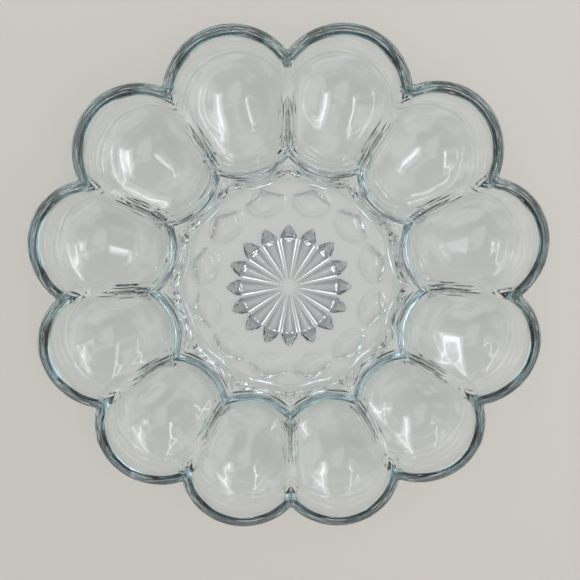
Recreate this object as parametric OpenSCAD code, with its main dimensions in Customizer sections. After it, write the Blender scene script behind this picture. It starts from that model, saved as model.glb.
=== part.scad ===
// Deviled egg platter of clear pressed glass: twelve egg cups round a flat centre dish.
// The origin is at the middle of the foot, on the table, with +Z up and a notch of the rim at +Y.

/* [Platter] */
// Width across two opposite scallops of the rim
platter_w = 298; // [286:1:310]
// Height from the table to the top of the rim
platter_h = 33; // [31:0.5:36]
// Radius of each rim scallop, as a share of the platter's width
scallop_share = 0.1272; // [0.123:0.0002:0.131]
// Thickness of the glass in the egg cups
wall_t = 5; // [4:0.1:5.6]
// Thickness of the rounded bead along the rim
bead_d = 6; // [5.7:0.1:6.8]

/* [Egg cups] */
// Depth of an egg cup below the rim
cup_depth = 26.5; // [24:0.5:27.5]
// Radius of the curve at the narrow inner end of an egg cup
cup_end_r = 20; // [17:0.5:23]
// Distance from the edge of the dish to the middle of that curve
cup_end_gap = 24.5; // [22.5:0.5:28.5]
// How much shallower an egg cup is at its narrow end
cup_taper = 1; // [0.4:0.1:2]

/* [Ridges between the cups] */
// Depth of the ridge crests below the rim
ridge_depth = 16; // [14:0.5:18]
// Radius of the saddle in which a ridge drops from its rim notch
saddle_r = 20; // [17:0.5:23]
// How far the foot of the saddle lies inside the middle of the rim scallops
saddle_gap = 3.1; // [2:0.1:5]

/* [Collar round the dish] */
// Height of the collar above the dish floor
collar_h = 7.8; // [6:0.2:9]
// Distance from the edge of the dish to the top of the collar
collar_gap = 6.5; // [5:0.5:8]
// Distance from the edge of the dish to where two cup ends meet a ridge
junction_gap = 16.5; // [14.5:0.5:19.5]
// Radius of the rounded inner end that each cup turns to the dish
bulge_r = 43; // [41:0.5:45]
// How far that end leans back between the dish floor and the collar
bulge_lean = 3.5; // [2:0.1:5]
// Height of the groove under the collar, between the foot ring and the cups
groove_h = 3.3; // [2:0.1:4]

/* [Dish and foot] */
// Thickness of the dish floor
floor_t = 4; // [3.4:0.1:5]
// Width of the flat dish inside the foot ring
dish_d = 127; // [122:1:130]
// Height by which the foot ring stands below the dish floor
foot_h = 1.2; // [0.8:0.1:2]
// Width of the foot ring where it joins the floor
foot_w = 6.5; // [5:0.1:8]
// Width of the flat band on which the platter stands
foot_land = 3.4; // [2:0.1:4.4]

/* [Star under the dish] */
// Width across two opposite ray tips, as a share of the dish's width
star_share = 0.61; // [0.55:0.01:0.63]
// Width of the plain spot in the middle of the star
hub_d = 7; // [5:0.5:10]
// Where a ray has its shoulders, as a share of its reach from the middle
shoulder_share = 0.775; // [0.7:0.005:0.82]
// Gap between two rays at their shoulders
ray_gap = 1.5; // [1.2:0.1:4]
// Depth of the rays in the glass
ray_depth = 2.2; // [1:0.1:2.5]

/* [Thumbprint border] */
// Distance from the middle to the thumbprints, as a share of the dish's width
print_at_share = 0.34; // [0.33:0.002:0.35]
// Length of a thumbprint, as a share of the dish's width
print_l_share = 0.1465; // [0.13:0.0005:0.15]
// Gap between two thumbprints where they are widest
print_gap = 2.4; // [1.2:0.1:6]
// Depth of a thumbprint in the glass
print_depth = 1.6; // [0.8:0.1:2.4]

/* [Hidden] */
$fn = 96;

// Clear pressed glass, in two greens so that neighbouring cups can be told apart
glass = [0.78, 0.86, 0.86, 0.8];
glass_deep = [0.66, 0.79, 0.80, 0.8];

cups = 12;
rays = 16;
cup_turn = 360 / cups;
ray_turn = 360 / rays;

// How far a cutting shape runs past the glass that it cuts
over = 1;

// Heights above the table
floor_z = foot_h + floor_t;
collar_z = floor_z + collar_h;
ridge_z = platter_h - ridge_depth;
bead_z = platter_h - bead_d / 2;
cup_floor_z = platter_h - cup_depth;

// Each rim scallop is an arc about this distance from the middle
scallop_r = platter_w * scallop_share;
scallop_at = platter_w / 2 - scallop_r;
bead_path_r = scallop_r - bead_d / 2;

// The cup is round about a level axis above the rim, found from its width at the bead and its depth
cup_mouth_r = bead_path_r - wall_t / 2;
cup_drop = bead_z - cup_floor_z;
cup_r = (cup_mouth_r * cup_mouth_r + cup_drop * cup_drop) / (2 * cup_drop);
cup_axis_z = cup_floor_z + cup_r;
cup_end_offset = cup_r - cup_taper - cup_end_r;

// Distances from the middle that follow from the dish and the scallops
collar_at = dish_d / 2 + collar_gap;
junction_at = dish_d / 2 + junction_gap;
cup_end_at = dish_d / 2 + cup_end_gap;
saddle_at = scallop_at - saddle_gap;

// The ridge falls a little from the saddle to the junction
ridge_fall = 0.5;
collar_shoulder_w = 3;
collar_shoulder_drop = 1.4;
// How far a cup's rounded end reaches in over the edge of the dish
bulge_lap = 0.5;
bulge_at = dish_d / 2 + bulge_r - bulge_lap;
// The glass over the groove rises from here into the ridges, and has run out at the back
groove_side = 1.5;
collar_under_w = 6;
collar_back_w = 16;
collar_back_rise = 9;
groove_top_share = groove_h / collar_back_rise;

foot_out_r = dish_d / 2 + foot_w;
foot_side = (foot_w - foot_land) / 2;

star_d = dish_d * star_share;
shoulder_at = star_d / 2 * shoulder_share;
ray_w = 2 * shoulder_at * tan(ray_turn / 2) - ray_gap;
// A ray's tip beyond the shoulder: where it curves in, and its width there
tip_bend_share = 0.55;
tip_width_share = 0.7;
// The step across the tip and the tip's own deepest point: how far out, and how deep
step_share = 0.12;
step_depth_share = 0.5;
crown_share = 0.4;
crown_depth_share = 0.95;

print_at = dish_d * print_at_share;
print_l = dish_d * print_l_share;
star_edge_r = (star_d / 2 + print_at) / 2;
// Outline of half a thumbprint, as shares of its length and of half its width: a round inner end
// that widens to the neighbouring prints, then two straight facets to a point
print_shares = [[0, 0], [0.05, 0.27], [0.16, 0.52], [0.32, 0.74], [0.48, 0.9], [0.6, 1],
                [0.72, 0.7], [0.86, 0.35], [1, 0]];
print_wide_share = 0.6;
print_wide_at = print_at + print_l * print_wide_share;
print_w = 2 * print_wide_at * tan(cup_turn / 2) - print_gap / cos(cup_turn / 2);
// The dimple's inner ring: its size, its depth and the place of the deepest point
print_ring_share = 0.6;
print_ring_depth_share = 0.8;
print_deep_share = 0.46;

// The shape of a whole egg laid along a cup, made larger all round by grow
module egg(grow) {
    end_x = cup_end_offset;
    full_r = cup_r + grow;
    end_r = cup_end_r + grow;
    translate([0, 0, cup_axis_z]) rotate([0, 90, 0]) rotate_extrude() intersection() {
        translate([0, scallop_at - platter_w]) square([platter_w, 2 * platter_w]);
        union() {
            translate([0, scallop_at]) circle(full_r);
            translate([end_x, cup_end_at]) circle(end_r);
            polygon([[0, cup_end_at - end_r], [end_x, cup_end_at - end_r],
                     [end_x + end_r, cup_end_at], [full_r, scallop_at], [0, scallop_at]]);
        }
    }
}

// One cup's share of the round platter
module sector() {
    reach = platter_w;
    half = cup_turn / 2;
    translate([0, 0, -over]) linear_extrude(platter_h + 2 * over)
        polygon([[0, 0], [reach, -reach * tan(half)], [reach, reach * tan(half)]]);
}

// The air above the ridges and the collar, turned about the middle of the platter
module crest_air() {
    top = platter_h + over;
    rotate_extrude() {
        intersection() {
            translate([saddle_at, ridge_z + saddle_r]) circle(saddle_r);
            square([platter_w, top]);
        }
        polygon([[saddle_at, ridge_z], [junction_at, ridge_z - ridge_fall],
                 [collar_at, collar_z], [collar_at - collar_shoulder_w, collar_z - collar_shoulder_drop],
                 [dish_d / 2 - over, floor_z], [0, floor_z], [0, top], [saddle_at, top]]);
    }
}

// The wall that closes a cup's inner end and stands round the dish
module collar_end() {
    under_r = foot_out_r + collar_under_w;
    back_r = foot_out_r + collar_back_w;
    groove_z = floor_z + groove_h;
    intersection() {
        translate([bulge_at, 0, floor_z])
            cylinder(h = collar_h, r1 = bulge_r, r2 = bulge_r - bulge_lean);
        rotate_extrude()
            polygon([[0, floor_z], [foot_out_r, floor_z], [foot_out_r + groove_side, groove_z],
                     [under_r + (back_r - under_r) * groove_top_share, groove_z],
                     [back_r, floor_z + collar_back_rise], [back_r, platter_h], [0, platter_h]]);
    }
}

module rim_bead() {
    translate([scallop_at, 0, bead_z]) rotate_extrude() translate([bead_path_r, 0]) circle(bead_d / 2);
}

// An egg cup with its arc of the rim, its half of each ridge and its part of the collar
module egg_cup(place) {
    color(place % 2 == 0 ? glass : glass_deep)
    rotate([0, 0, 90 - cup_turn * (place - 0.5)])
    intersection() {
        sector();
        difference() {
            union() {
                difference() {
                    union() {
                        intersection() {
                            egg(wall_t);
                            translate([0, -platter_w / 2, 0]) cube([platter_w, platter_w, bead_z]);
                        }
                        collar_end();
                    }
                    egg(0);
                }
                rim_bead();
            }
            crest_air();
        }
    }
}

module foot_ring() {
    in_r = dish_d / 2;
    color(glass_deep)
    rotate_extrude()
        polygon([[in_r, foot_h], [in_r + foot_side, 0], [in_r + foot_side + foot_land, 0],
                 [foot_out_r, foot_h], [foot_out_r, floor_z], [in_r, floor_z]]);
}

// One ray cut into the underside, along +X
module ray_cut() {
    mid_r = hub_d / 2;
    tip_r = star_d / 2;
    tip_l = tip_r - shoulder_at;
    bend_r = shoulder_at + tip_l * tip_bend_share;
    half = ray_w / 2;
    bend_half = half * tip_width_share;
    low = foot_h - over;
    outline = [[mid_r, 0], [shoulder_at, -half], [bend_r, -bend_half], [tip_r, 0],
               [bend_r, bend_half], [shoulder_at, half]];
    n = len(outline);
    // The valley along the middle, with a step across it at the shoulder
    valley = [[shoulder_at, 0, foot_h + ray_depth],
              [shoulder_at + tip_l * step_share, 0, foot_h + ray_depth * step_depth_share],
              [shoulder_at + tip_l * crown_share, 0, foot_h + ray_depth * crown_depth_share]];
    v = 2 * n;
    polyhedron(
        points = concat([for (p = outline) [p[0], p[1], low]],
                        [for (p = outline) [p[0], p[1], foot_h]],
                        valley),
        faces = concat([[for (i = [0 : n - 1]) i]],
                       [for (i = [0 : n - 1]) [i, i + n, (i + 1) % n + n, (i + 1) % n]],
                       [[n, v, n + 1], [n, n + 5, v],
                        [n + 1, v, v + 1], [n + 5, v + 1, v],
                        [n + 1, v + 1, v + 2], [n + 5, v + 2, v + 1],
                        [n + 1, v + 2, n + 2], [n + 5, n + 4, v + 2],
                        [n + 2, v + 2, n + 3], [n + 3, v + 2, n + 4]]));
}

// A round floor with the star cut into its underside
module star_medallion() {
    color(glass)
    difference() {
        translate([0, 0, foot_h]) cylinder(h = floor_t, r = star_edge_r);
        for (k = [0 : rays - 1]) rotate([0, 0, 90 - k * ray_turn]) ray_cut();
    }
}

// One thumbprint cut into the underside, along +X
module thumbprint_cut() {
    last = len(print_shares) - 1;
    half = concat(print_shares, [for (i = [last - 1 : -1 : 1]) [print_shares[i][0], -print_shares[i][1]]]);
    n = len(half);
    low = foot_h - over;
    mid = print_at + print_l * print_deep_share;
    ring = [for (p = half) [print_at + print_l * p[0], print_w / 2 * p[1]]];
    inner = [for (p = ring) [mid + (p[0] - mid) * print_ring_share, p[1] * print_ring_share]];
    polyhedron(
        points = concat([for (p = ring) [p[0], p[1], low]],
                        [for (p = ring) [p[0], p[1], foot_h]],
                        [for (p = inner) [p[0], p[1], foot_h + print_depth * print_ring_depth_share]],
                        [[mid, 0, foot_h + print_depth]]),
        faces = concat([[for (i = [n - 1 : -1 : 0]) i]],
                       [for (i = [0 : n - 1]) [i, (i + 1) % n, (i + 1) % n + n, i + n]],
                       [for (i = [0 : n - 1]) [i + n, (i + 1) % n + n, i + 2 * n]],
                       [for (i = [0 : n - 1]) [(i + 1) % n + n, (i + 1) % n + 2 * n, i + 2 * n]],
                       [for (i = [0 : n - 1]) [i + 2 * n, (i + 1) % n + 2 * n, 3 * n]]));
}

// The floor between the star and the foot ring, with the thumbprints cut into its underside
module thumbprint_border() {
    color(glass_deep)
    difference() {
        translate([0, 0, foot_h]) cylinder(h = floor_t, r = dish_d / 2);
        cylinder(h = floor_z + over, r = star_edge_r);
        for (k = [0 : cups - 1]) rotate([0, 0, 90 - (k + 0.5) * cup_turn]) thumbprint_cut();
    }
}

egg_cup(1);  // egg_cup_01
egg_cup(2);  // egg_cup_02
egg_cup(3);  // egg_cup_03
egg_cup(4);  // egg_cup_04
egg_cup(5);  // egg_cup_05
egg_cup(6);  // egg_cup_06
egg_cup(7);  // egg_cup_07
egg_cup(8);  // egg_cup_08
egg_cup(9);  // egg_cup_09
egg_cup(10);  // egg_cup_10
egg_cup(11);  // egg_cup_11
egg_cup(12);  // egg_cup_12
foot_ring();
thumbprint_border();
star_medallion();
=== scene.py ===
import math

import bpy
from mathutils import Euler, Matrix


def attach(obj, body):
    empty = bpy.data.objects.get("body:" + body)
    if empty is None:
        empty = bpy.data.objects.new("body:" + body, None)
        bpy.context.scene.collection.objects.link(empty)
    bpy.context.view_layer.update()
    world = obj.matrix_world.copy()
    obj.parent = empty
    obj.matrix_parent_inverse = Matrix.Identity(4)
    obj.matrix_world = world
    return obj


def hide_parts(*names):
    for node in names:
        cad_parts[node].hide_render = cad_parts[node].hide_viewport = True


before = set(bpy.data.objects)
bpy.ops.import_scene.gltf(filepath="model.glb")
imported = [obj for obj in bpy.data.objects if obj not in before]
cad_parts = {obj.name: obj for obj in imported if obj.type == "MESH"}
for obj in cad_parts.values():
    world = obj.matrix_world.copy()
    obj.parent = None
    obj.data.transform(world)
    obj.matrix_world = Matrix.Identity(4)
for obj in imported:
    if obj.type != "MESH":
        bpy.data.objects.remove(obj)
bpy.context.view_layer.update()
print("frame loaded", len(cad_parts), "nodes")

# Sizes of the glass in millimetres. The tree takes each by its name.
glassSizes = {
    "Scallop centre": 111.09,
    "Bead path radius": 34.91,
    "Bead radius": 2.98,
    "Bead height": 30.0,
    "Cup axis height": 40.59,
    "Cup end offset": 13.09,
    "Cup end radius": 20.0,
    "Cup end at": 88.0,
    "Cup taper": 1.0,
    "Wall": 5.0,
    "Wall steepness": 1.0,
    "Ridge height": 17.0,
    "Saddle radius": 20.0,
    "Saddle at": 108.0,
    "Junction at": 80.0,
    "Ridge fall": 0.5,
    "Collar at": 70.0,
    "Collar height": 13.0,
    "Collar shoulder width": 3.0,
    "Collar shoulder drop": 1.4,
    "Bulge radius": 43.0,
    "Bulge at": 106.0,
    "Bulge run": 6.0,
    "Bulge climb": 0.9,
    "Ring height": 0.16,
    "Floor height": 5.2,
    "Groove depth": 3.3,
    "Under height": 1.2,
    "Notch fillet": 4.0,
    "Crest softness": 0.7,
    "Saddle softness": 5.0,
    "Crease softness": 6.0,
    "Notch softness": 9.0,
    "Ray shoulder": 29.3,
    "Ray land": 0.75,
    "Ray depth": 2.4,
    "Tip depth": 2.8,
    "Star radius": 38.7,
    "Hub radius": 3.8,
    "Print middle": 53.4,
    "Print length": 10.2,
    "Print half width": 13.4,
    "Print apex": 61.8,
    "Print depth": 1.6,
    "Print facet slope": 0.85,
}

# Further values of its form, in millimetres, degrees or shares. A pair is the start and the end
# of a run.
glassForm = {
    "columnCrowding": 0.25,
    "cupCrowding": 0.3,
    "underCrowding": 0.25,
    "notchFrom": 0.7,
    "notchUpright": 0.8,
    "beadFrom": 200.0,
    "beadTo": -20.0,
    "steepSquare": 80.0,
    "steepSlope": 0.056,
    "pathBlend": 8.4,
    "lobeBlend": 0.5,
    "collarPower": 0.62,
    "collarBlend": 1.0,
    "collarEnd": (86.0, 93.0),
    "collarEndRise": 25.0,
    "crestFrom": 62.5,
    "climbLimit": 19.5,
    "ringGap": 2.5,
    "ringsStart": (1.0, 2.5),
    "ringsEnd": (9.0, 12.0),
    "landBlend": 1.2,
    "landSink": 0.2,
    "dishBlend": 1.3,
    "ridgeRun": (74.0, 82.0),
    "notchRun": (104.0, 118.0),
    "outerSink": 3.3,
    "outerSinkRun": (4.0, 16.0),
    "underSlope": 0.9,
    "underFrom": 76.0,
    "grooveBlend": 1.5,
    "shellBlend": 1.2,
    "wallTop": 27.4,
    "tipValley": 0.6,
    "tipValleyRun": 2.6,
    "tipSlope": 1.05,
    "rayRound": 0.72,
    "rayPower": 2.5,
    "crispAngle": 9.0,
    "weld": 0.002,
}
millimetre = 0.001

# The glass is one grid rolled along the platter's section: columns run round the platter and rows
# run from the middle of the dish out over the rim and back under to the middle of the star.
# Twelve lobes and sixteen rays share the columns. In half a ray, the first columns make its flank
# and the others the land beside it.
lobeColumns = 40
rayColumns = 30
flankColumns = 11.0
columnCount = 12 * lobeColumns + 1
lobeHalf = math.radians(15.0)
rayHalf = math.radians(11.25)
firstLobe = math.radians(105.0)
firstRay = math.radians(90.0)
rowZones = {"dish": 0, "collar": 3, "cup": 37, "bead": 80, "under": 95, "foot": 136,
            "prints": 150, "star": 178, "end": 203}
wallRows = 5

# The foot ring: rows past its zone's start, distance from the middle and height
footRows = [(3, 70.8, 5.1), (4, 70.5, 5.0), (5, 70.1, 4.2), (6, 69.9, 2.0), (7, 69.4, 0.8),
            (8, 68.4, 0.12), (9, 68.0, 0.0), (10, 65.6, 0.0), (11, 64.9, 0.25), (12, 64.0, 0.75),
            (13, 63.2, 1.1)]

# Where the rows lie: a zone, rows past its start and a distance, which is taken from the collar's
# foot up to the bead and from the middle after it
ringRows = [("dish", 0, 0.0), ("collar", 0, -0.6), ("cup", 0, 13.0), ("bead", -wallRows, 13.0),
            ("under", -1, 77.0), ("foot", -1, 77.0),
            *(("foot", step, far) for step, far, rise in footRows),
            ("prints", 0, 62.6), ("star", -1, 41.0), ("star", 0, 40.0), ("star", 1, 38.7),
            ("star", 9, 29.3), ("star", 10, 28.3), ("end", -1, 3.8), ("end", 0, 0.0)]

# The walls, row by row: how far out from the bead's path the last rows of the inner wall lie, then
# the same for the first rows of the outer wall, each with its share of the way up to the bead
innerWall = [-4.1, -3.75, -3.45, -3.25, -3.1]
outerWall = [(2.9, 1.0), (2.88, 0.844), (2.8, 0.688), (2.55, 0.539), (2.0, 0.404), (1.1, 0.284),
             (-0.2, 0.177), (-1.9, 0.085), (-4.0, 0.0)]

# How much lower the well lies at each distance inside the bead's path, so that its wall stands
# upright there
wallSink = [(3.05, 0.0), (3.4, 2.6), (4.4, 4.0), (6.0, 3.6), (9.0, 2.4), (14.0, 0.9), (20.0, 0.0)]


class Field:
    # A number that a tree works out, which takes part in sums like a plain number
    def __init__(self, tree, socket):
        self.tree = tree
        self.socket = socket

    def __add__(self, other):
        return work("ADD", self, other)

    def __radd__(self, other):
        return work("ADD", other, self)

    def __sub__(self, other):
        return work("SUBTRACT", self, other)

    def __rsub__(self, other):
        return work("SUBTRACT", other, self)

    def __mul__(self, other):
        return work("MULTIPLY", self, other)

    def __rmul__(self, other):
        return work("MULTIPLY", other, self)

    def __truediv__(self, other):
        return work("DIVIDE", self, other)

    def __rtruediv__(self, other):
        return work("DIVIDE", other, self)


def feed(node, name, value):
    # Sets a node's input to a value, or links another node's output to it
    if isinstance(value, Field):
        value = value.socket
    if isinstance(value, bpy.types.NodeSocket):
        node.id_data.links.new(value, node.inputs[name])
    else:
        node.inputs[name].default_value = value


def addNode(tree, kind, inputs=(), **settings):
    node = tree.nodes.new(kind)
    for name, value in settings.items():
        setattr(node, name, value)
    for name, value in dict(inputs).items():
        feed(node, name, value)
    return node


def work(operation, *values):
    tree = next(v.tree for v in values if isinstance(v, Field))
    node = addNode(tree, "ShaderNodeMath", enumerate(values), operation=operation)
    return Field(tree, node.outputs[0])


def low(a, b):
    return work("MINIMUM", a, b)


def high(a, b):
    return work("MAXIMUM", a, b)


def softLow(a, b, width):
    return work("SMOOTH_MIN", a, b, width)


def softHigh(a, b, width):
    return work("SMOOTH_MAX", a, b, width)


def root(a):
    return work("SQRT", a)


def sine(a):
    return work("SINE", a)


def cosine(a):
    return work("COSINE", a)


def mixed(a, b, share):
    return a + (b - a) * share


def span(field, start, end, first, last):
    # Runs from first to last while field runs from start to end, and stays there outside
    node = addNode(field.tree, "ShaderNodeMapRange",
                   {"Value": field, "From Min": start, "From Max": end,
                    "To Min": first, "To Max": last}, clamp=True)
    return Field(field.tree, node.outputs["Result"])


def rising(field, run):
    return span(field, *run, 0.0, 1.0)


def falling(field, run):
    return span(field, *run, 1.0, 0.0)


def along(field, stops):
    # A line through the stops, each a place and a value
    total = None
    for (start, first), (end, last) in zip(stops, stops[1:]):
        if total is None:
            total = span(field, start, end, first, last)
        elif last != first:
            total = total + span(field, start, end, 0.0, last - first)
    return total


def chosen(field, limit, before, after):
    # before where field is under the limit, after from there on
    test = work("GREATER_THAN", field, limit - 0.5)
    node = addNode(field.tree, "GeometryNodeSwitch", input_type="FLOAT")
    for name, value in (("Switch", test), ("False", before), ("True", after)):
        feed(node, name, value)
    return Field(field.tree, node.outputs["Output"])


def axes(tree, socket):
    parts = addNode(tree, "ShaderNodeSeparateXYZ", {0: socket})
    return [Field(tree, parts.outputs[axis]) for axis in "XYZ"]


def glassTree():
    tree = bpy.data.node_groups.new("PlatterGlass", "GeometryNodeTree")
    tree.interface.new_socket("Geometry", in_out="OUTPUT", socket_type="NodeSocketGeometry")
    tree.interface.new_socket("Material", in_out="INPUT", socket_type="NodeSocketMaterial")
    for name, value in glassSizes.items():
        socket = tree.interface.new_socket(name, in_out="INPUT", socket_type="NodeSocketFloat")
        socket.default_value = value
    entry = tree.nodes.new("NodeGroupInput")

    def size(name):
        return Field(tree, entry.outputs[name])

    form = glassForm
    zone = rowZones
    rowCount = zone["end"] + 1
    grid = addNode(tree, "GeometryNodeMeshGrid",
                   {"Size X": columnCount - 1, "Size Y": rowCount - 1,
                    "Vertices X": columnCount, "Vertices Y": rowCount})
    gridX, gridY = axes(tree, addNode(tree, "GeometryNodeInputPosition").outputs[0])[:2]
    column = work("ROUND", gridX + (columnCount - 1) / 2)
    row = work("ROUND", gridY + (rowCount - 1) / 2)

    # The columns of each lobe lie closer together towards the ridges
    lobe = work("FLOOR", column / lobeColumns)
    u = (column - lobe * lobeColumns) / (lobeColumns / 2) - 1.0
    away = work("ABSOLUTE", u)
    crowding = form["columnCrowding"]
    phi = ((1.0 + crowding) * u - crowding * u * u * u) * lobeHalf
    cosPhi = cosine(phi)
    sinPhi = sine(phi)

    # The bead's path: the scallop's arc, then a small fillet in the notch
    centre = size("Scallop centre")
    path = size("Bead path radius")
    fillet = size("Notch fillet")
    reach = root((path + fillet) * (path + fillet)
                 - work("POWER", centre * math.sin(lobeHalf), 2.0))
    filletAt = centre * math.cos(lobeHalf) + reach
    filletX = filletAt * math.cos(lobeHalf)
    filletY = filletAt * math.sin(lobeHalf)
    turnEnd = work("ARCTAN2", filletY, filletX - centre)
    notchFrom = form["notchFrom"]
    alpha = turnEnd * low(away / notchFrom, 1.0)
    beta = span(away, notchFrom, 1.0, turnEnd, lobeHalf)
    inNotch = work("GREATER_THAN", away, notchFrom)
    pathX = mixed(centre + path * cosine(alpha), filletX - fillet * cosine(beta), inNotch)
    pathY = mixed(path * sine(alpha), filletY - fillet * sine(beta), inNotch)
    turn = mixed(alpha, beta, inNotch)
    side = work("SIGN", u)
    pathY = pathY * side
    outX = cosine(turn)
    outY = sine(turn) * side

    # The foot of the collar follows the round end of the cup
    bulgeR = size("Bulge radius")
    bulgeAt = size("Bulge at")
    across = bulgeAt * sinPhi
    edge = bulgeAt * cosPhi - root(bulgeR * bulgeR - across * across)
    wallFrom = zone["bead"] - wallRows
    skirt = zone["under"]
    footFrom = zone["foot"]
    edgeShare = along(row, [(zone["dish"], 0.0), (zone["collar"], 1.0), (wallFrom, 1.0),
                            (zone["bead"], 0.0)])
    added = along(row, [(zone[name] + step, far) for name, step, far in ringRows])
    ring = edge * edgeShare + added
    cupShare = span(row, zone["cup"], wallFrom, 0.0, 1.0)
    cupShare = cupShare * (1.0 + form["cupCrowding"] - form["cupCrowding"] * cupShare)
    underShare = span(row, skirt + len(outerWall) - 1, footFrom - 1, 1.0, 0.0)
    underShare = underShare * (1.0 - form["underCrowding"] + form["underCrowding"] * underShare)
    rimShare = chosen(row, skirt, cupShare, underShare)
    psi = span(row, zone["bead"], skirt - 1, math.radians(form["beadFrom"]),
               math.radians(form["beadTo"]))
    bead = size("Bead radius")
    beadOut = bead * cosine(psi)
    beadZ = size("Bead height") + bead * sine(psi)
    fixedOut = along(row, [*((wallFrom + step, off) for step, off in enumerate(innerWall)),
                           *((skirt + step, off) for step, (off, up) in enumerate(outerWall))])
    isBead = (work("GREATER_THAN", row, zone["bead"] - 0.5)
              * work("LESS_THAN", row, skirt - 0.5))
    out = mixed(fixedOut, beadOut, isBead)
    x = mixed(ring * cosPhi, pathX + outX * out, rimShare)
    y = mixed(ring * sinPhi, pathY + outY * out, rimShare)
    distance = root(x * x + y * y)
    sideways = work("ABSOLUTE", y)

    # The same place as seen from the next lobe
    nextCos = math.cos(2 * lobeHalf)
    nextSin = math.sin(2 * lobeHalf)

    def beside(px, py):
        py = work("ABSOLUTE", py)
        return px * nextCos + py * nextSin, py * nextCos - px * nextSin

    nextX, nextY = beside(x, y)

    endR = size("Cup end radius")
    endAt = size("Cup end at")
    axisZ = size("Cup axis height")

    def egg(px, py, grow):
        back = span(endAt - px, 0.0, endR + grow, 0.0, endR + grow)
        profile = size("Cup end offset") + root((endR + grow) * (endR + grow) - back * back)
        profile = profile + span(px, endAt, centre, 0.0, size("Cup taper"))
        past = high(px - centre, 0.0)
        q = profile * profile - past * past - py * py
        steep = form["steepSquare"]
        return axisZ - root(high(q, steep)) + form["steepSlope"] * high(steep - q, 0.0)

    # How far a place lies inside the bead's path, near which the walls stand upright
    def fromPath(px, py):
        def fromArc(ax, ay):
            return path - root((ax - centre) * (ax - centre) + ay * ay)

        return softHigh(fromArc(px, py), fromArc(*beside(px, py)), form["pathBlend"])

    upright = size("Wall steepness") * span(away, notchFrom, 1.0, 1.0, form["notchUpright"])
    sunk = along(fromPath(x, y), wallSink) * upright
    well = low(egg(x, y, 0.0), egg(nextX, nextY, 0.0)) - sunk

    # Land between the wells: dish floor, collar wall, collar, ridge and the saddle to the notch
    def bulge(px, py):
        off = px - bulgeAt
        return bulgeR - root(off * off + py * py)

    floorZ = size("Floor height")
    collarAt = size("Collar at")
    collarZ = size("Collar height")
    bulgeRun = size("Bulge run")
    inward = softHigh(bulge(x, y), bulge(nextX, nextY), form["lobeBlend"])
    left = 1.0 - span(inward, 0.0, bulgeRun, 0.0, 1.0)
    lean = (floorZ + (collarZ - floorZ) * work("POWER", 1.0 - left * left, form["collarPower"])
            + size("Bulge climb") * high(inward - bulgeRun, 0.0))
    wall = (softHigh(lean, floorZ, form["collarBlend"])
            + span(distance, *form["collarEnd"], 0.0, form["collarEndRise"]))
    shoulderAt = collarAt - size("Collar shoulder width")
    shoulderZ = collarZ - size("Collar shoulder drop")
    junctionZ = size("Ridge height") - size("Ridge fall")
    junctionAt = size("Junction at")
    saddleAt = size("Saddle at")
    saddleR = size("Saddle radius")
    climb = span(distance - saddleAt, 0.0, form["climbLimit"], 0.0, form["climbLimit"])
    crest = (span(distance, form["crestFrom"], shoulderAt, floorZ, shoulderZ)
             + span(distance, shoulderAt, collarAt, 0.0, size("Collar shoulder drop"))
             + span(distance, collarAt, junctionAt, 0.0, junctionZ - collarZ)
             + span(distance, junctionAt, saddleAt, 0.0, size("Ridge fall"))
             + saddleR - root(saddleR * saddleR - climb * climb))
    # Fine rings that the mould left on the collar, round each cup's end
    rings = (size("Ring height") * cosine(inward * (math.tau / form["ringGap"]))
             * rising(inward, form["ringsStart"]) * falling(inward, form["ringsEnd"]))
    land = softLow(crest, wall, form["landBlend"]) - sunk * form["landSink"] + rings
    crestSoft = size("Crest softness")
    edgeSoft = (span(distance, *form["ridgeRun"], form["dishBlend"], crestSoft)
                + span(distance, *form["notchRun"], 0.0, size("Saddle softness") - crestSoft))
    top = softLow(well, land, edgeSoft)

    # Underside of the cups and of the collar
    grown = size("Wall")

    def outside(px, py):
        far = root(px * px + py * py)
        soft = span(far, *form["notchRun"], size("Crease softness"), size("Notch softness"))
        drop = span(fromPath(px, py), *form["outerSinkRun"], form["outerSink"], 0.0) * upright
        return softLow(egg(px, py, grown), egg(*beside(px, py), grown), soft) - drop

    collarUnder = softHigh(floorZ + form["underSlope"] * (distance - form["underFrom"]),
                           floorZ + size("Groove depth"), form["grooveBlend"])
    under = softLow(outside(x, y), collarUnder, form["shellBlend"])

    # The outer wall stands upright under the bead, then turns in under the cup
    wallIn = outerWall[-1][0]
    wallEnd = outside(pathX + outX * wallIn, pathY + outY * wallIn)
    wallShare = along(row, [(skirt + step, up) for step, (off, up) in enumerate(outerWall)])
    outerZ = mixed(wallEnd, form["wallTop"], wallShare)

    # Foot ring
    underZ = size("Under height")
    foot = along(row, [(footFrom + step, rise) for step, far, rise in footRows])

    # Thumbprints: a dimple cut across by two facets that meet in a point
    dx = (x - size("Print middle")) / size("Print length")
    dy = y / size("Print half width")
    dimple = size("Print depth") * (1.0 - dx * dx - dy * dy)
    apexRun = size("Print apex") - size("Print middle")
    slant = root(apexRun * apexRun + size("Print half width") * size("Print half width"))
    facet = ((size("Print apex") - x) * size("Print half width") - apexRun * sideways) / slant
    printed = high(low(dimple, facet * size("Print facet slope")), 0.0)
    prints = underZ + printed

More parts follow.
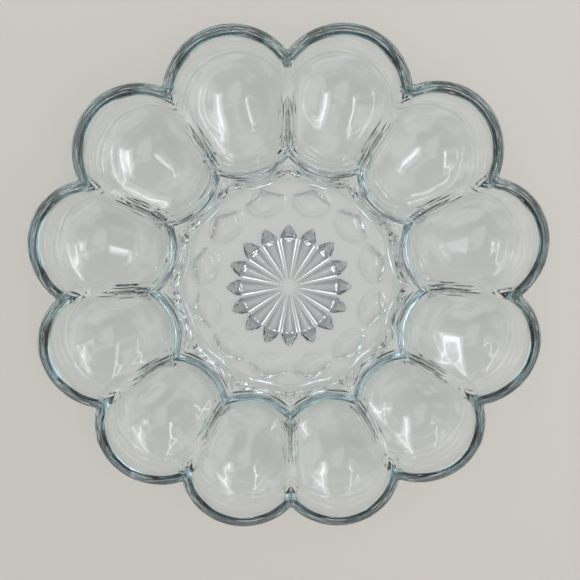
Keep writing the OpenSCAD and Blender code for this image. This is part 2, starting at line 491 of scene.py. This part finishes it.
    # Star: each ray has its own columns
    ray = work("FLOOR", (column + rayColumns / 2) / rayColumns)
    rayColumn = column - ray * rayColumns
    rayAway = work("ABSOLUTE", rayColumn)
    shoulder = size("Ray shoulder")
    hub = size("Hub radius")
    tip = size("Star radius")
    half = low(ring, shoulder) * math.tan(rayHalf) - size("Ray land")
    toTip = span(ring, shoulder, tip, 0.0, 1.0)
    half = half * (1.0 - toTip * toTip)
    halfTurn = high(half, 0.02) / high(ring, 1.0)
    withinRay = low(rayAway / flankColumns, 1.0)
    beyond = span(rayAway, flankColumns, rayColumns / 2, 0.0, 1.0)
    delta = halfTurn * withinRay + (rayHalf - halfTurn) * beyond
    delta = delta * work("SIGN", rayColumn)
    # The valley runs out into the shaft's shoulder, then starts again in the tip
    tipValley = form["tipValley"]
    tipFrom = shoulder + form["tipValleyRun"]
    valley = (span(ring, hub, shoulder - 1.0, 0.0, 1.0)
              - span(ring, shoulder - 1.0, shoulder, 0.0, tipValley)
              + span(ring, shoulder, tipFrom, 0.0, tipValley)
              - span(ring, tipFrom, tip, 0.0, 1.0))
    rounded = (form["rayRound"] * (1.0 - work("POWER", withinRay, form["rayPower"]))
               + (1.0 - form["rayRound"]) * (1.0 - withinRay))
    onTip = span(ring, shoulder - 0.5, shoulder, 0.0, 1.0)
    shaft = size("Ray depth") * valley * rounded
    tipped = low(size("Tip depth") * valley,
                 form["tipSlope"] * high(half, 0.0) * (1.0 - withinRay))
    star = underZ + mixed(shaft, tipped, onTip)

    # Heights by zone
    z = chosen(row, zone["bead"], top, beadZ)
    z = chosen(row, skirt, z, outerZ)
    z = chosen(row, skirt + len(outerWall), z, under)
    z = chosen(row, footFrom + 4, z, foot)
    z = chosen(row, zone["prints"], z, prints)
    z = chosen(row, zone["star"], z, star)

    lobeTurn = lobe * (2 * lobeHalf) + firstLobe
    lobeX = x * cosine(lobeTurn) - y * sine(lobeTurn)
    lobeY = x * sine(lobeTurn) + y * cosine(lobeTurn)
    rayTurn = ray * (2 * rayHalf) + firstRay + delta
    finalX = chosen(row, zone["star"], lobeX, ring * cosine(rayTurn))
    finalY = chosen(row, zone["star"], lobeY, ring * sine(rayTurn))

    metres = {axis: field * millimetre
              for axis, field in (("X", finalX), ("Y", finalY), ("Z", high(z, 0.0)))}
    joined = addNode(tree, "ShaderNodeCombineXYZ", metres)
    keptRow = addNode(tree, "GeometryNodeStoreNamedAttribute",
                      {"Name": "row", "Geometry": grid.outputs["Mesh"]},
                      data_type="FLOAT", domain="POINT")
    feed(keptRow, "Value", row)
    moved = addNode(tree, "GeometryNodeSetPosition", {"Geometry": keptRow.outputs["Geometry"],
                                                      "Position": joined.outputs[0]})
    welded = addNode(tree, "GeometryNodeMergeByDistance",
                     {"Geometry": moved.outputs["Geometry"],
                      "Distance": form["weld"] * millimetre})
    smooth = addNode(tree, "GeometryNodeSetShadeSmooth",
                     {"Geometry": welded.outputs["Geometry"]}, domain="FACE")

    # The pressed star and prints keep their crisp facet edges
    angle = addNode(tree, "GeometryNodeInputMeshEdgeAngle").outputs["Unsigned Angle"]
    readRow = addNode(tree, "GeometryNodeInputNamedAttribute", {"Name": "row"}, data_type="FLOAT")
    steep = work("GREATER_THAN", Field(tree, angle), math.radians(form["crispAngle"]))
    cutArea = work("GREATER_THAN", Field(tree, readRow.outputs["Attribute"]), zone["prints"] + 0.4)
    crisp = addNode(tree, "GeometryNodeSetShadeSmooth",
                    {"Geometry": smooth.outputs["Geometry"], "Selection": steep * cutArea,
                     "Shade Smooth": False}, domain="EDGE")
    flipped = addNode(tree, "GeometryNodeFlipFaces", {"Mesh": crisp.outputs["Geometry"]})
    real = addNode(tree, "GeometryNodeRealizeInstances", {"Geometry": flipped.outputs["Mesh"]})
    painted = addNode(tree, "GeometryNodeSetMaterial", {"Geometry": real.outputs["Geometry"],
                                                        "Material": entry.outputs["Material"]})
    addNode(tree, "NodeGroupOutput", {"Geometry": painted.outputs["Geometry"]})
    return tree


# Looks of the glass. Sizes, gaps and heights of its relief are in metres, and the noise sizes are
# the texture's own scale.
glassLook = {
    "tint": (0.982, 0.989, 0.991, 1.0),
    "wornTint": (0.990, 0.995, 0.997, 1.0),
    "roughness": 0.07,
    "polished": 0.8,
    "worn": 1.3,
    "wearSize": 22.0,
    "wearRun": (0.35, 0.75),
    "bend": 1.51,
    "bodyTint": (0.50, 0.77, 0.79, 1.0),
    "bodyDensity": 14.0,
    "shadow": (0.982, 0.984, 0.985, 1.0),
    "steepShadow": (0.70, 0.74, 0.74, 1.0),
    "shadowBlend": 0.42,
    "pressedShadow": (0.34, 0.36, 0.40, 1.0),
    # Painted shade: the greyer tint of the steep cut facets under the dish
    "pressedPaintedShade": (0.49, 0.50, 0.59, 1.0),
    "pressedReach": 0.0628,
    "facetRun": (0.98, 0.80),
    "rippleSize": 55.0,
    "rippleHeight": 0.00022,
    "grainSize": 900.0,
    "grainHeight": 0.000006,
    "markHeight": 0.00034,
    "driftSize": 60.0,
    "driftReach": 0.0016,
    "faintRun": (0.3, 0.6),
    "faintShare": 0.45,
    "collarMarkGap": 0.0024,
    "collarCornerShare": 1.2,
    "ridgeMarkGap": 0.0021,
    "ridgeMarkShare": 2.0,
    "rimMarkGap": 0.0015,
    "rimMarkShare": 1.2,
    "rimNotchShare": 0.3,
    "printMarkCount": 4.0,
    "printMarkShare": 0.55,
    "tipMarkSize": 520.0,
    "tipMarkMiddle": 0.4,
    "tipMarkShare": 1.1,
}

# Where the marks start and end, in metres: inwards from the collar's foot, off the ridge, inwards
# from the rim's path, up from the table, out from the middle, and past the edge or the shoulder of
# a star's tip. The last three are shares.
markRuns = {
    "collarStart": (0.0005, 0.002),
    "collarEnd": (0.010, 0.0135),
    "cornerSide": (0.002, 0.006),
    "cornerEnd": (0.069, 0.073),
    "ridgeSide": (0.0030, 0.0055),
    "ridgeStart": (0.080, 0.086),
    "ridgeEnd": (0.103, 0.116),
    "rimOuter": (-0.0034, -0.0020),
    "rimInner": (0.0018, 0.0034),
    "rimNotch": (0.0025, 0.0060),
    "rimFoot": (0.0255, 0.0280),
    "printEnd": (0.062, 0.0625),
    "tipSide": (-0.0006, -0.0002),
    "tipShoulder": (0.0, 0.0008),
    "printInner": (0.3, 0.5),
    "printOuter": (0.85, 0.95),
    "tipPoint": (0.9, 1.0),
}


def mouldMarks(tree, coordinates):
    # Height of the fine lines round each cup's inner end, along the ridges and along the rim, of
    # the arcs in the thumbprints and of the small facets in the star's tips
    x, y, height = axes(tree, coordinates)
    distance = root(x * x + y * y)
    turn = work("PINGPONG", work("ARCTAN2", y, x) - lobeHalf, lobeHalf)
    px = distance * cosine(turn)
    py = distance * sine(turn)

    def metres(name):
        return glassSizes[name] * millimetre

    def within(reach, at):
        # How far a place lies inside a circle about a point on the lobe's middle line
        off = px - at
        return reach - root(off * off + py * py)

    inward = within(metres("Bulge radius"), metres("Bulge at"))
    fromRim = within(metres("Bead path radius"), metres("Scallop centre"))
    fromRidge = distance * sine(lobeHalf - turn)

    noise = addNode(tree, "ShaderNodeTexNoise",
                    {"Scale": glassLook["driftSize"], "Detail": 2.0, "Vector": coordinates})
    wander = Field(tree, noise.outputs[0])
    drift = (wander - 0.5) * glassLook["driftReach"]
    strength = span(wander, *glassLook["faintRun"], glassLook["faintShare"], 1.0)

    def lines(field, gap):
        return cosine((field + drift) * (math.tau / glassLook[gap]))

    ringed = (lines(inward, "collarMarkGap")
              * rising(inward, markRuns["collarStart"]) * falling(inward, markRuns["collarEnd"]))
    # Stronger where two cup ends meet the dish
    corner = falling(fromRidge, markRuns["cornerSide"]) * falling(distance, markRuns["cornerEnd"])
    ringed = ringed * (1.0 + corner * glassLook["collarCornerShare"])
    straight = (lines(fromRidge, "ridgeMarkGap") * falling(fromRidge, markRuns["ridgeSide"])
                * rising(distance, markRuns["ridgeStart"])
                * falling(distance, markRuns["ridgeEnd"]) * glassLook["ridgeMarkShare"])
    rimmed = (lines(fromRim, "rimMarkGap") * rising(fromRim, markRuns["rimOuter"])
              * falling(fromRim, markRuns["rimInner"])
              * span(fromRidge, *markRuns["rimNotch"], glassLook["rimNotchShare"], 1.0)
              * rising(height, markRuns["rimFoot"]) * glassLook["rimMarkShare"])

    printX = (px - metres("Print middle")) / metres("Print length")
    printY = py / metres("Print half width")
    printed = root(printX * printX + printY * printY)
    arcs = (cosine(printed * math.tau * glassLook["printMarkCount"])
            * rising(printed, markRuns["printInner"]) * falling(printed, markRuns["printOuter"])
            * falling(distance, markRuns["printEnd"]) * glassLook["printMarkShare"])

    rayTurn = work("PINGPONG", work("ARCTAN2", y, x) - firstRay, rayHalf)
    shoulder = metres("Ray shoulder")
    toTip = span(distance, shoulder, metres("Star radius"), 0.0, 1.0)
    tipHalf = (shoulder * math.tan(rayHalf) - metres("Ray land")) * (1.0 - toTip * toTip)
    inTip = (falling(distance * rayTurn - tipHalf, markRuns["tipSide"])
             * rising(distance - shoulder, markRuns["tipShoulder"])
             * falling(toTip, markRuns["tipPoint"]))
    cells = addNode(tree, "ShaderNodeTexVoronoi",
                    {"Scale": glassLook["tipMarkSize"], "Vector": coordinates})
    facets = Field(tree, cells.outputs["Distance"]) - glassLook["tipMarkMiddle"]
    glints = facets * inTip * glassLook["tipMarkShare"]
    return (ringed + straight + rimmed + arcs) * strength * 0.5 + glints + 0.5


def mixedColour(tree, share, first, second):
    node = addNode(tree, "ShaderNodeMix", {"Factor": share, "A": first, "B": second},
                   data_type="RGBA")
    return node.outputs["Result"]


def bumped(tree, height, distance, below=None):
    # The surface's normal with this relief on top of the relief below
    inputs = {"Strength": 1.0, "Distance": distance, "Height": height}
    if below is not None:
        inputs["Normal"] = below
    return addNode(tree, "ShaderNodeBump", inputs).outputs["Normal"]


def cutShare(tree, coordinates):
    # 1 on the steep facets under the dish and 0 elsewhere
    x, y = axes(tree, coordinates.outputs["Object"])[:2]
    up = axes(tree, coordinates.outputs["Normal"])[2]
    pressed = work("LESS_THAN", root(x * x + y * y), glassLook["pressedReach"])
    return pressed * rising(work("ABSOLUTE", up), glassLook["facetRun"])


def glassMaterial():
    material = bpy.data.materials.new("ClearPressedGlass")
    material.use_nodes = True
    tree = material.node_tree
    tree.nodes.clear()
    coordinates = addNode(tree, "ShaderNodeTexCoord")
    place = coordinates.outputs["Object"]

    # Fire polish leaves a slow ripple, and wear leaves a very fine grain
    ripple = addNode(tree, "ShaderNodeTexNoise",
                     {"Scale": glassLook["rippleSize"], "Detail": 1.5, "Roughness": 0.4,
                      "Vector": place})
    grain = addNode(tree, "ShaderNodeTexNoise",
                    {"Scale": glassLook["grainSize"], "Detail": 2.0, "Vector": place})
    normal = bumped(tree, ripple.outputs[0], glassLook["rippleHeight"])
    normal = bumped(tree, grain.outputs[0], glassLook["grainHeight"], normal)
    normal = bumped(tree, mouldMarks(tree, place), glassLook["markHeight"], normal)

    # Wear: the gloss and the tint vary a little over the glass. The steep cut facets carry a
    # painted shade: their tint is greyer.
    wear = addNode(tree, "ShaderNodeTexNoise",
                   {"Scale": glassLook["wearSize"], "Detail": 6.0, "Vector": place}).outputs[0]
    gloss = span(Field(tree, wear), *glassLook["wearRun"],
                 glassLook["roughness"] * glassLook["polished"],
                 glassLook["roughness"] * glassLook["worn"])
    cut = cutShare(tree, coordinates)
    tint = mixedColour(tree, wear, glassLook["tint"], glassLook["wornTint"])
    # Painted shade on the steep cut facets of the star and the prints
    tint = mixedColour(tree, cut, tint, glassLook["pressedPaintedShade"])
    glass = addNode(tree, "ShaderNodeBsdfPrincipled",
                    {"Transmission Weight": 1.0, "IOR": glassLook["bend"], "Normal": normal,
                     "Roughness": gloss, "Base Color": tint})

    # Lamps and bounced light pass through, so that the floor keeps a light shadow. The cut facets
    # throw the light aside, so that the star and the prints read.
    facing = addNode(tree, "ShaderNodeLayerWeight", {"Blend": glassLook["shadowBlend"]})
    shadow = mixedColour(tree, facing.outputs["Facing"], glassLook["shadow"],
                         glassLook["steepShadow"])
    shadow = mixedColour(tree, cut, shadow, glassLook["pressedShadow"])
    clear = addNode(tree, "ShaderNodeBsdfTransparent", {"Color": shadow}).outputs[0]
    rays = addNode(tree, "ShaderNodeLightPath")
    first = addNode(tree, "ShaderNodeMixShader",
                    {0: rays.outputs["Is Diffuse Ray"], 1: glass.outputs[0], 2: clear})
    second = addNode(tree, "ShaderNodeMixShader",
                     {0: rays.outputs["Is Shadow Ray"], 1: first.outputs[0], 2: clear})
    body = addNode(tree, "ShaderNodeVolumeAbsorption",
                   {"Color": glassLook["bodyTint"], "Density": glassLook["bodyDensity"]})
    addNode(tree, "ShaderNodeOutputMaterial",
            {"Surface": second.outputs[0], "Volume": body.outputs[0]})
    return material


def glassPiece():
    tree = glassTree()
    material = glassMaterial()
    seed = bpy.data.meshes.new("PlatterGlassSeed")
    maker = bpy.data.objects.new("PlatterGlassMaker", seed)
    bpy.context.scene.collection.objects.link(maker)
    modifier = maker.modifiers.new("Glass", "NODES")
    modifier.node_group = tree
    for item in tree.interface.items_tree:
        if item.item_type != "SOCKET" or item.in_out != "INPUT":
            continue
        if item.name == "Material":
            modifier[item.identifier] = material
        else:
            modifier[item.identifier] = glassSizes[item.name]
    depsgraph = bpy.context.evaluated_depsgraph_get()
    mesh = bpy.data.meshes.new_from_object(maker.evaluated_get(depsgraph))
    mesh.name = "PlatterGlass"
    maker.modifiers.remove(modifier)
    bpy.data.objects.remove(maker)
    mesh.attributes.remove(mesh.attributes["row"])
    piece = bpy.data.objects.new("PlatterGlass", mesh)
    bpy.context.scene.collection.objects.link(piece)
    return piece


platter = glassPiece()
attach(platter, "root")
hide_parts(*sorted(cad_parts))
print("glass made", len(platter.data.vertices), "points", len(platter.data.polygons), "faces")

# Plain pale floor, a little below the foot ring
floorLook = {"width": 30.0, "drop": 0.0002, "colour": (0.55, 0.515, 0.46, 1.0), "roughness": 0.75}


def floorPiece():
    half = floorLook["width"] / 2
    mesh = bpy.data.meshes.new("Floor")
    mesh.from_pydata([(-half, -half, 0), (half, -half, 0), (half, half, 0), (-half, half, 0)],
                     [], [(0, 1, 2, 3)])
    material = bpy.data.materials.new("PaleFloor")
    material.use_nodes = True
    plain = material.node_tree.nodes["Principled BSDF"]
    feed(plain, "Roughness", floorLook["roughness"])
    feed(plain, "Base Color", floorLook["colour"])
    mesh.materials.append(material)
    piece = bpy.data.objects.new("Floor", mesh)
    bpy.context.scene.collection.objects.link(piece)
    return piece


floor = floorPiece()
floor.location.z = -floorLook["drop"]
print("floor made")

# Long soft lamps overhead, which face straight down, and the room's own light
lamps = {
    "StripRight": {"place": (0.76, 0.92, 1.45), "size": (0.11, 2.2), "power": 5.0,
                   "colour": (0.91, 0.89, 1.0)},
    "StripRightGlow": {"place": (0.78, 0.92, 1.46), "size": (0.50, 2.4), "power": 7.5,
                       "colour": (0.92, 0.90, 1.0)},
    "StripLeft": {"place": (-0.58, 0.90, 1.45), "size": (0.09, 1.9), "power": 3.0,
                  "colour": (0.93, 0.94, 1.0)},
}


def addLamp(name, look):
    data = bpy.data.lights.new(name, "AREA")
    data.shape = "RECTANGLE"
    data.size, data.size_y = look["size"]
    data.energy = look["power"]
    data.color = look["colour"]
    lamp = bpy.data.objects.new(name, data)
    lamp.location = look["place"]
    bpy.context.scene.collection.objects.link(lamp)


for name, look in lamps.items():
    addLamp(name, look)

# Pale overhead, a plain backdrop low down, and dark and pale patches between them. A run is how
# far up from level it lies, as a share of straight up.
roomLook = {
    "overhead": (1.30, 1.30, 1.30, 1.0),
    "overheadRun": (0.35, 0.90),
    "overheadShare": 0.45,
    "backdrop": (0.55, 0.53, 0.49, 1.0),
    "backdropRun": (0.28, 0.46),
    "darkSide": (0.04, 0.06, 0.085, 1.0),
    "paleSide": (1.70, 1.78, 1.84, 1.0),
    "patchSize": 2.6,
    "patchSeed": 3.0,
    "patchRun": (0.46, 0.58),
}


def roomLight():
    world = bpy.data.worlds.new("Room")
    bpy.context.scene.world = world
    world.use_nodes = True
    tree = world.node_tree
    direction = addNode(tree, "ShaderNodeTexCoord").outputs["Generated"]

    def gentle(socket, run, last):
        # Rises from 0 to last in a smooth curve while the socket's value goes through the run
        node = addNode(tree, "ShaderNodeMapRange",
                       {"Value": socket, "From Min": run[0], "From Max": run[1], "To Max": last},
                       interpolation_type="SMOOTHSTEP")
        return node.outputs["Result"]

    up = axes(tree, direction)[2]
    patches = addNode(tree, "ShaderNodeTexNoise",
                      {"Scale": roomLook["patchSize"], "W": roomLook["patchSeed"], "Detail": 2.5,
                       "Vector": direction}, noise_dimensions="4D")
    sides = mixedColour(tree, gentle(patches.outputs[0], roomLook["patchRun"], 1.0),
                        roomLook["darkSide"], roomLook["paleSide"])
    walls = mixedColour(tree, gentle(up, roomLook["backdropRun"], 1.0),
                        roomLook["backdrop"], sides)
    colour = mixedColour(tree, gentle(up, roomLook["overheadRun"], roomLook["overheadShare"]),
                         walls, roomLook["overhead"])
    feed(tree.nodes["Background"], "Color", colour)


roomLight()
print("lights made")

# The photograph's viewing angle, turned about X, Y and Z in radians
cameraLook = {"place": (-0.0006, 0.0776, 0.361), "tilt": (0.2181, 0.0030, 0.0084), "lens": 37.15,
              "sensor": 36.0}


def addCamera():
    data = bpy.data.cameras.new("Camera")
    data.lens = cameraLook["lens"]
    data.sensor_width = cameraLook["sensor"]
    camera = bpy.data.objects.new("Camera", data)
    turn = Euler(cameraLook["tilt"], "XYZ").to_matrix().transposed()
    camera.matrix_world = Matrix.Translation(cameraLook["place"]) @ turn.to_4x4()
    bpy.context.scene.collection.objects.link(camera)
    bpy.context.scene.camera = camera


addCamera()
bpy.context.scene.view_settings.view_transform = "Standard"
print("camera made")
